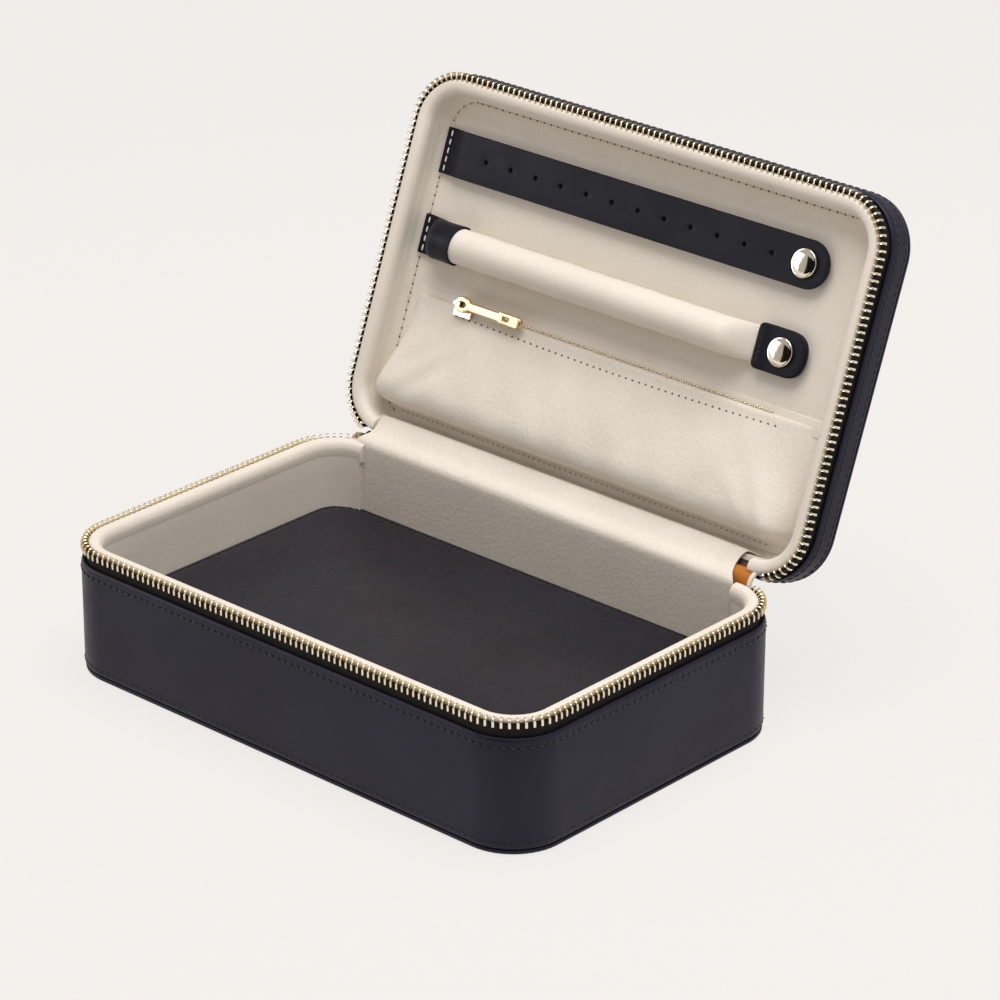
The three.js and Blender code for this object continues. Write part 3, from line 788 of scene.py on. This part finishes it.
def snap_cap(name, node, body, y, lift):
    """A nearly flat snap cap with a rolled rim, facing away from the lid's floor."""
    node_low, node_high = shut_mm(node)
    x, low = (node_low[0] + node_high[0]) / 2, node_high[2] + lift
    profile = [
        (0.02, low - 1.62), (1.5, low - 1.6), (2.8, low - 1.5), (3.7, low - 1.36), (4.2, low - 1.2),
        (4.34, low - 1.12), (4.5, low - 1.16), (4.72, low - 1.05), (4.88, low - 0.72), (4.86, low - 0.35),
        (4.6, low - 0.12), (0.02, low - 0.12),
    ]
    piece(name, turned(profile, (x, y)), "polished", body, [node], sharp_deg=70)


SEWN_PITCH = 3.0  # of the white stitches at the left ends of the strip and the roll
STRIP_HOLES = {"first": -69.7, "pitch": 11.2, "count": 12, "radius": 1.05}


def end_stitches(name, x, low_y, high_y, height, body):
    """The row of white stitches across a strap's sewn end."""
    row = line_stitches((x, low_y, height), (x, high_y, height), (0, 0, -1), SEWN_PITCH, 2.1, 0.65)
    piece(name, row, "white_thread", body)


def earring_strip():
    low, high = shut_mm("earring_strip")
    middle_y, width = (low[1] + high[1]) / 2, high[1] - low[1]
    thickness = high[2] - low[2]
    centre = (low[2] + high[2]) / 2

    def lie(points):
        """Sewn down at its left end, then a little clear of the floor and slightly bowed."""
        points = points.copy()
        lift = ease((points[:, 0] - (low[0] + 2.6)) / 7)
        along = (points[:, 0] - low[0]) / (high[0] - low[0])
        points[:, 2] += centre + (1 - lift) * 1.6 - 0.35 * np.sin(math.pi * along)
        return points

    hole_xs = [STRIP_HOLES["first"] + STRIP_HOLES["pitch"] * i for i in range(STRIP_HOLES["count"])]
    outline = tongue(low[0], high[0], middle_y, width)
    face = flat_cut(outline, [circle(x, middle_y, STRIP_HOLES["radius"]) for x in hole_xs], 0.9, 0.22, 3.0)
    inset = tongue(low[0] + 0.1, high[0] - 0.1, middle_y, width - 0.2)
    back = flat_cut(inset, [circle(x, middle_y, 0.32) for x in hole_xs], 0.5, 0.1, 3.0)
    face = (lie(face[0]) + [0, 0, -0.24], face[1])
    back = (lie(back[0]) + [0, 0, thickness / 2 - 0.3], back[1])
    piece("earring_strip_leather", joined(face, back), "strap", "earring_strip", ["earring_strip"])
    sewn_x = low[0] + 1.9
    top = lie(np.array([[sewn_x, middle_y, 0]]))[0][2] - 0.74
    end_stitches("earring_strip_stitches", sewn_x, low[1] + 0.2, high[1] - 0.2, top, "earring_strip")
    snap_cap("strip_cap_dome", "strip_snap_cap", "earring_strip", middle_y, 0.2)


ROLL_FLAT_LEFT = -88.0  # the roll's left end is flat up to here, under its tab
ROLL_ROUND = (-77.0, 46.0)  # and it is fully round between these
ROLL_FLAT_RIGHT = 58.6
ROLL_RADIUS = 6.1
ROLL_FLAT_TALL = 2.2  # the height of its flattened ends


def roll_section(x):
    """How high the roll stands at a place, and half its width there."""
    left = ease((x - ROLL_FLAT_LEFT) / (ROLL_ROUND[0] - ROLL_FLAT_LEFT))
    right = 1 - ease((x - ROLL_ROUND[1]) / (ROLL_FLAT_RIGHT - ROLL_ROUND[1]))
    fullness = min(left, right)
    radius = ROLL_RADIUS * (1 + 0.012 * math.sin(x * 0.19) + 0.010 * math.sin(x * 0.53 + 1))
    tall = ROLL_FLAT_TALL + (2 * radius - ROLL_FLAT_TALL) * fullness
    return tall, radius * (1 + 0.02 * (1 - fullness))


def ring_roll():
    low, high = shut_mm("roll_cover")
    y = (low[1] + high[1]) / 2
    floor = LID_FLOOR - 0.3  # the roll lies a little clear of the lining
    first, last = ROLL_ROUND
    xs = np.concatenate([np.linspace(-82, first, 8), np.linspace(first + 3, last, 44),
                         np.linspace(last + 0.8, ROLL_FLAT_RIGHT, 18)])
    turns = np.linspace(0, 2 * math.pi, 44, endpoint=False)
    rings = []
    for x in xs:
        tall, half = roll_section(x)
        rings.append([[x, y + half * math.cos(a), floor - tall / 2 * (1 + math.sin(a))] for a in turns])
    roll = piece("ring_roll_suede", loft(rings), "suede", "ring_roll", ["roll_cover", "roll_core"])
    roll_left_tab(y, floor)
    roll_right_tab(y)


def roll_left_tab(y, floor):
    """Leather sewn to the floor at its left end, draped over the roll's flat end and round its full one."""
    left, right = shut_mm("roll_left_tab")[0][0], -69.0
    half_width, wrap = 6.8, math.radians(112)
    grid = []
    for t in np.linspace(0, 1, 34):
        x = left + (right - left) * t
        tall, half = roll_section(x)
        fullness = (tall - ROLL_FLAT_TALL) / 10.0
        row = []
        for a in np.linspace(-1, 1, 41):
            turn = a * wrap
            over = (half + 0.35) * math.sin(turn), tall / 2 + (tall / 2 + 0.35) * math.cos(turn)
            flat = half_width * a, 1.3 + 0.9 * ease((x - left - 3) / 4)
            side, height = (f + (o - f) * ease(fullness * 1.3) for f, o in zip(flat, over))
            slant = (0.9 * a + 0.5 * abs(a)) * t
            row.append([x - slant, y + side, floor - max(height, 0.6)])
        grid.append(row)
    piece("roll_left_tab_leather", thick_sheet(grid, 0.9), "strap", "ring_roll", ["roll_left_tab"])
    end_stitches("roll_left_stitches", left + 2.0, y - half_width + 0.4, y + half_width - 0.4, floor - 1.86,
                 "ring_roll")


def roll_right_tab(y):
    """A thick leather tab with round right corners that holds the roll's end and carries the snap."""
    low, high = shut_mm("roll_right_tab")
    left, half = low[0] - 0.9, (high[1] - low[1]) / 2 + 0.35
    outline = rounded([(left, y - half, 1.6), (high[0], y - half, 8.5), (high[0], y + half, 8.5),
                       (left, y + half, 1.6)], steps=9)
    points, faces = flat_cut([tuple(point) for point in outline], [], 1.9, 0.6, 1.5)
    points[:, 2] += low[2] + 0.55 - 0.5 * (1 - ease((points[:, 0] - left) / 6))
    piece("roll_right_tab_leather", (points, faces), "strap", "ring_roll", ["roll_right_tab"])
    top = low[2] - 0.85
    row = line_stitches((left + 1.7, y - 5.6, top), (left + 1.7, y + 5.6, top), (0, 0, -1), 2.4, 1.6, 0.6)
    piece("roll_right_stitches", row, "navy_thread", "ring_roll")
    snap_cap("roll_cap_dome", "roll_snap_cap", "ring_roll", y, -0.1)


# The pillow pocket: v is the distance from the lid's front edge, heights stand up from the lid's floor.
# Its height, and its left and right ends, by v:
POCKET_SIDE = [(76.0, 0.7), (76.5, 2.3), (79.5, 2.9), (86, 4.9), (94, 7.7), (102, 10.2), (108, 11.2),
               (112.4, 9.6), (114.6, 4.6), (115.8, 1.7), (118.2, 1.2)]
POCKET_LEFT = [(76, -87.2), (88, -87.8), (96, -89.4), (104, -91.6), (110, -92.7), (113.2, -90.0),
               (115.6, -84.5), (118.2, -82.5)]
POCKET_RIGHT = [(76, 87.0), (84, 88.6), (106, 89.4), (111, 89.0), (115.6, 85.5), (118.2, 83.0)]
# Its soft creases: from x, v to x, v, how wide and how deep
POCKET_CREASES = [
    (-80, 113, -58, 92, 3.2, 0.8), (-84, 104, -66, 88, 3.0, 0.5), (-40, 113, -30, 98, 5.0, 0.45),
    (12, 113, 4, 96, 6.0, 0.4), (60, 96, 74, 110, 3.0, -0.55), (48, 112, 58, 98, 4.5, 0.5),
]


def smooth_line(controls):
    """A smooth function of v through a few control points."""
    curve = spline(controls, 160)
    return lambda v: float(np.interp(v, curve[:, 0], curve[:, 1]))


POCKET_HEIGHT, POCKET_LEFT_X, POCKET_RIGHT_X = map(smooth_line, (POCKET_SIDE, POCKET_LEFT, POCKET_RIGHT))


def pocket_height(x, v):
    """How far the pocket's suede stands above the lid's floor."""
    from_left = np.clip((x - POCKET_LEFT_X(v)) / 9, 0, 1)
    fall = 26 - 17 * ease((v - 80) / 34)
    from_right = np.clip((POCKET_RIGHT_X(v) - x) / fall, 0, 1)
    rise = (1 - (1 - from_left) ** 2.6) * (1 - (1 - from_right) ** 1.9)
    fullness = rise * ease((v - 77) / 12) * ease((117 - v) / 4)
    folds = 0.25 * math.sin(x * 0.11 + v * 0.09) + 0.12 * math.sin(x * 0.31 - v * 0.22)
    for x0, v0, x1, v1, width, depth in POCKET_CREASES:
        along = np.array([x1 - x0, v1 - v0], float)
        t = np.clip(((x - x0) * along[0] + (v - v0) * along[1]) / (along @ along), 0, 1)
        away = math.hypot(x - x0 - t * along[0], v - v0 - t * along[1])
        folds -= depth * math.exp(-((away / width) ** 2)) * math.sin(math.pi * (0.12 + 0.76 * t))
    return max(0.0, POCKET_HEIGHT(v) * rise + folds * fullness)


def pocket_shell(columns=120, rows=56):
    """The pocket's face as a grid of points, closed by a skirt and a flat back at the lid's floor."""
    controls = spline(POCKET_SIDE, 400)
    walked = np.concatenate([[0], np.cumsum(np.linalg.norm(np.diff(controls, axis=0), axis=1))])
    shares = (1 - np.cos(np.linspace(0, math.pi, columns))) / 2 * 0.6 + np.linspace(0, 1, columns) * 0.4
    face = []
    for w in np.linspace(0, 1, rows):
        v = float(np.interp(w * walked[-1], walked, controls[:, 0]))
        left, right = POCKET_LEFT_X(v), POCKET_RIGHT_X(v)
        for x in left + (right - left) * shares:
            face.append((x, v - BACK, LID_FLOOR - 0.05 - pocket_height(x, v)))
    face = np.array(face)
    faces = []
    for j in range(rows - 1):
        for i in range(columns - 1):
            a = j * columns + i
            faces.append((a, a + 1, a + columns + 1, a + columns))
    border = [*range(columns), *range(2 * columns - 1, rows * columns, columns),
              *range(rows * columns - 2, (rows - 1) * columns - 1, -1),
              *range((rows - 2) * columns, 0, -columns)]
    skirt = face[border]
    skirt[:, 2] = LID_FLOOR + 0.4
    offset = len(face)
    for k in range(len(border)):
        m = (k + 1) % len(border)
        faces.append((border[k], border[m], offset + m, offset + k))
    faces.append(tuple(range(offset, offset + len(border))))
    return np.vstack([face, skirt]), faces


def pocket():
    pillow = piece("pocket_suede", pocket_shell(), "grained", "lid", ["pocket_pillow"])
    top_row = [(x, 79.3 + 1.2 * math.sin(math.pi * (x + 66) / 139)) for x in np.arange(-66, 73, 2.8)]
    hem_row = [(x, 115.9) for x in np.arange(-80, 81, 2.3)]
    spots = [(x, v - BACK, LID_FLOOR - 0.07 - pocket_height(x, v)) for x, v in top_row + hem_row]
    # Dark dimples along the pocket's top and hem: painted shade of the needle holes.
    piece("pocket_needle_holes", needle_holes(spots, (0, 0, -1), 0.46), "needle_hole_shade", "lid")


def pocket_zip():
    low, high = shut_mm("pocket_zip_teeth")
    y = (low[1] + high[1]) / 2
    tape = rounded([(y - 2.9, LID_FLOOR + 0.1, 0), (y - 2.7, LID_FLOOR - 0.25, 0.2),
                    (y + 2.7, LID_FLOOR - 0.7, 0.2), (y + 2.9, LID_FLOOR + 0.1, 0)])
    rings = [[[x, a, b] for a, b in tape] for x in np.linspace(low[0], high[0], 30)]
    piece("pocket_tape", loft(rings), "suede", "lid", ["pocket_zip_tape"])
    pitch, start, end = 1.0, -61.0, 68.0
    places = []
    for i in range(int((end - start) / pitch)):
        x = start + pitch * (i + 0.5)
        side = 0.2 if i % 2 else -0.2
        places.append(((x, y - 0.55 + side, LID_FLOOR - 1.0), [(0, 1.1, 0), (0.62, 0, 0), (0, 0, 0.9)]))
    piece("pocket_teeth", copies(capsule(8), places), "gold", "lid", ["pocket_zip_teeth"])
    pocket_puller()


def pocket_puller():
    """The pocket's puller: a flat ring on a slim bar, ending in a slotted clasp with a round tip."""
    low, high = shut_mm("pocket_puller")
    y, z = (low[1] + high[1]) / 2, (low[2] + high[2]) / 2
    left, right = low[0] - 1.2, high[0] + 0.4
    ring_x, ring_half, neck = left + 3.2, 3.2, left + 6.6
    bar_half, clasp_half, clasp = 1.1, 1.6, right - 9.5
    turns = np.linspace(math.radians(22), math.radians(338), 22)
    head = [(ring_x + ring_half * math.cos(a), y + 2.35 * math.sin(a)) for a in turns]
    upper = [(right - 0.4, 1.1), (right - 1.5, clasp_half), (clasp + 0.2, clasp_half), (clasp, bar_half),
             (neck, bar_half)]
    lower = [(x, y - half) for x, half in upper[::-1]]
    outline = [*head, *lower, (right, y), *((x, y + half) for x, half in upper)]
    turns = np.linspace(0, 2 * math.pi, 18, endpoint=False)
    eye = [(ring_x + 1.9 * math.cos(a), y + 1.25 * math.sin(a)) for a in turns]
    slot = [(clasp + x, y + side) for x, side in ((1.6, -0.95), (5.0, -0.95), (5.0, 0.95), (1.6, 0.95))]
    points, faces = flat_cut(outline, [eye, slot], 1.5, 0.4, 2.0)
    points[:, 2] += z
    piece("pocket_puller_bar", (points, faces), "puller_gold", "pocket_puller", ["pocket_puller"])


# ---- CAD nodes that stay

CARRIED_NODES = {
    "gold": ("zip_end_stop", "zip_slider", "zip_crown", "zip_puller", "pocket_slider", "pocket_slider_crown",
             "strip_snap_socket", "strip_snap_stud", "roll_snap_socket", "roll_snap_stud"),
    "board": ("base_bottom_board", "base_wall_board", "lid_panel_board", "lid_wall_board"),
    "foam": ("base_floor_core",),
}
METAL_BEVEL = 0.15


def finish_node(name, finish):
    obj = frame["nodes"][name]
    obj.data.materials.clear()
    obj.data.materials.append(FINISHES[finish])
    if finish == "gold":
        bevel = obj.modifiers.new("eased_edges", "BEVEL")
        bevel.width = METAL_BEVEL * MM
        bevel.segments = 3
        bevel.limit_method = "ANGLE"
        bevel.angle_limit = math.radians(40)


def carried_over():
    for finish, names in CARRIED_NODES.items():
        for name in names:
            finish_node(name, finish)


# ---- studio

VIEW_DEG = {"azimuth": 42.397, "elevation": 24.293, "roll": 0.178}
VIEW_TARGET_MM = (34.745, 0, 78.918)
VIEW_DISTANCE = 1.3372
LENS = 156.04
CASE_CENTRE = Vector((0, 0, 0.06))  # what the lights and the card face


def camera():
    """The viewing angle: in front of the case and to its right, looking down a little."""
    azimuth, elevation, roll = (math.radians(VIEW_DEG[key]) for key in ("azimuth", "elevation", "roll"))
    back = Vector((math.sin(azimuth) * math.cos(elevation), -math.cos(azimuth) * math.cos(elevation),
                   math.sin(elevation)))
    data = bpy.data.cameras.new("camera")
    data.sensor_width = 36
    data.lens = LENS
    data.clip_start, data.clip_end = 0.05, 50
    obj = bpy.data.objects.new("camera", data)
    obj.location = Vector(VIEW_TARGET_MM) * MM + back * VIEW_DISTANCE
    obj.rotation_mode = "QUATERNION"
    obj.rotation_quaternion = (-back).to_track_quat("-Z", "Y") @ Quaternion((0, 0, 1), roll)
    bpy.context.scene.collection.objects.link(obj)
    bpy.context.scene.camera = obj


def facing_case(name, data, place):
    """An object at a place, turned towards the case."""
    obj = bpy.data.objects.new(name, data)
    obj.location = place
    obj.rotation_mode = "QUATERNION"
    obj.rotation_quaternion = (CASE_CENTRE - Vector(place)).to_track_quat("-Z", "Y")
    bpy.context.scene.collection.objects.link(obj)
    return obj


def rectangle(name, half_wide, half_tall, material):
    mesh = bpy.data.meshes.new(name)
    corners = [(-half_wide, -half_tall, 0), (half_wide, -half_tall, 0), (half_wide, half_tall, 0),
               (-half_wide, half_tall, 0)]
    mesh.from_pydata(corners, [], [(0, 1, 2, 3)])
    mesh.materials.append(material)
    return mesh


def area_light(name, place, size, power):
    data = bpy.data.lights.new(name, "AREA")
    data.shape = "RECTANGLE"
    data.size, data.size_y = size
    data.energy = power
    return facing_case(name, data, place)


def flag(name, place, size):
    """A black card beside the camera that only reflections see."""
    black = Nodes("black_card", (0.01, 0.01, 0.01), 1.0, Specular_IOR_Level=0.0).material
    obj = facing_case(name, rectangle(name, size[0] / 2, size[1] / 2, black), place)
    obj.visible_camera = obj.visible_diffuse = obj.visible_shadow = False


PAPER = (0.913, 0.879, 0.855)
PAPER_GLOW = 0.865
WORLD_LIGHT = 0.50
FLOOR_REACH = 12


def paper_floor():
    paper = Nodes("pale_paper", (0.10, 0.095, 0.09), 1.0, Specular_IOR_Level=0.0)
    paper.shader.inputs["Emission Color"].default_value = (*PAPER, 1)
    paper.shader.inputs["Emission Strength"].default_value = PAPER_GLOW
    floor_mesh = rectangle("studio_floor", FLOOR_REACH, FLOOR_REACH, paper.material)
    floor = bpy.data.objects.new("studio_floor", floor_mesh)
    floor.location.z = -0.0002
    bpy.context.scene.collection.objects.link(floor)


def studio():
    scene = bpy.context.scene
    scene.view_settings.view_transform = "Standard"
    world = bpy.data.worlds.new("studio")
    scene.world = world
    world.use_nodes = True
    world.node_tree.nodes["Background"].inputs["Color"].default_value = (*PAPER, 1)
    world.node_tree.nodes["Background"].inputs["Strength"].default_value = WORLD_LIGHT
    area_light("top_softbox", (0.15, 0.0, 1.1), (0.9, 0.8), 11.5)
    glow = area_light("left_softbox", (-1.1, -0.75, 0.45), (0.7, 0.6), 5)
    glow.visible_diffuse = False
    flag("front_flag", (0.25, -1.25, 0.42), (2.1, 1.1))
    paper_floor()


camera()
studio()
base_leather()
base_rim_and_walls()
floor_pad()
zips()
lid_leather()
lid_rim_and_walls()
lid_floor()
hinge_lining()
hinge_spine()
earring_strip()
ring_roll()
pocket()
pocket_zip()
carried_over()
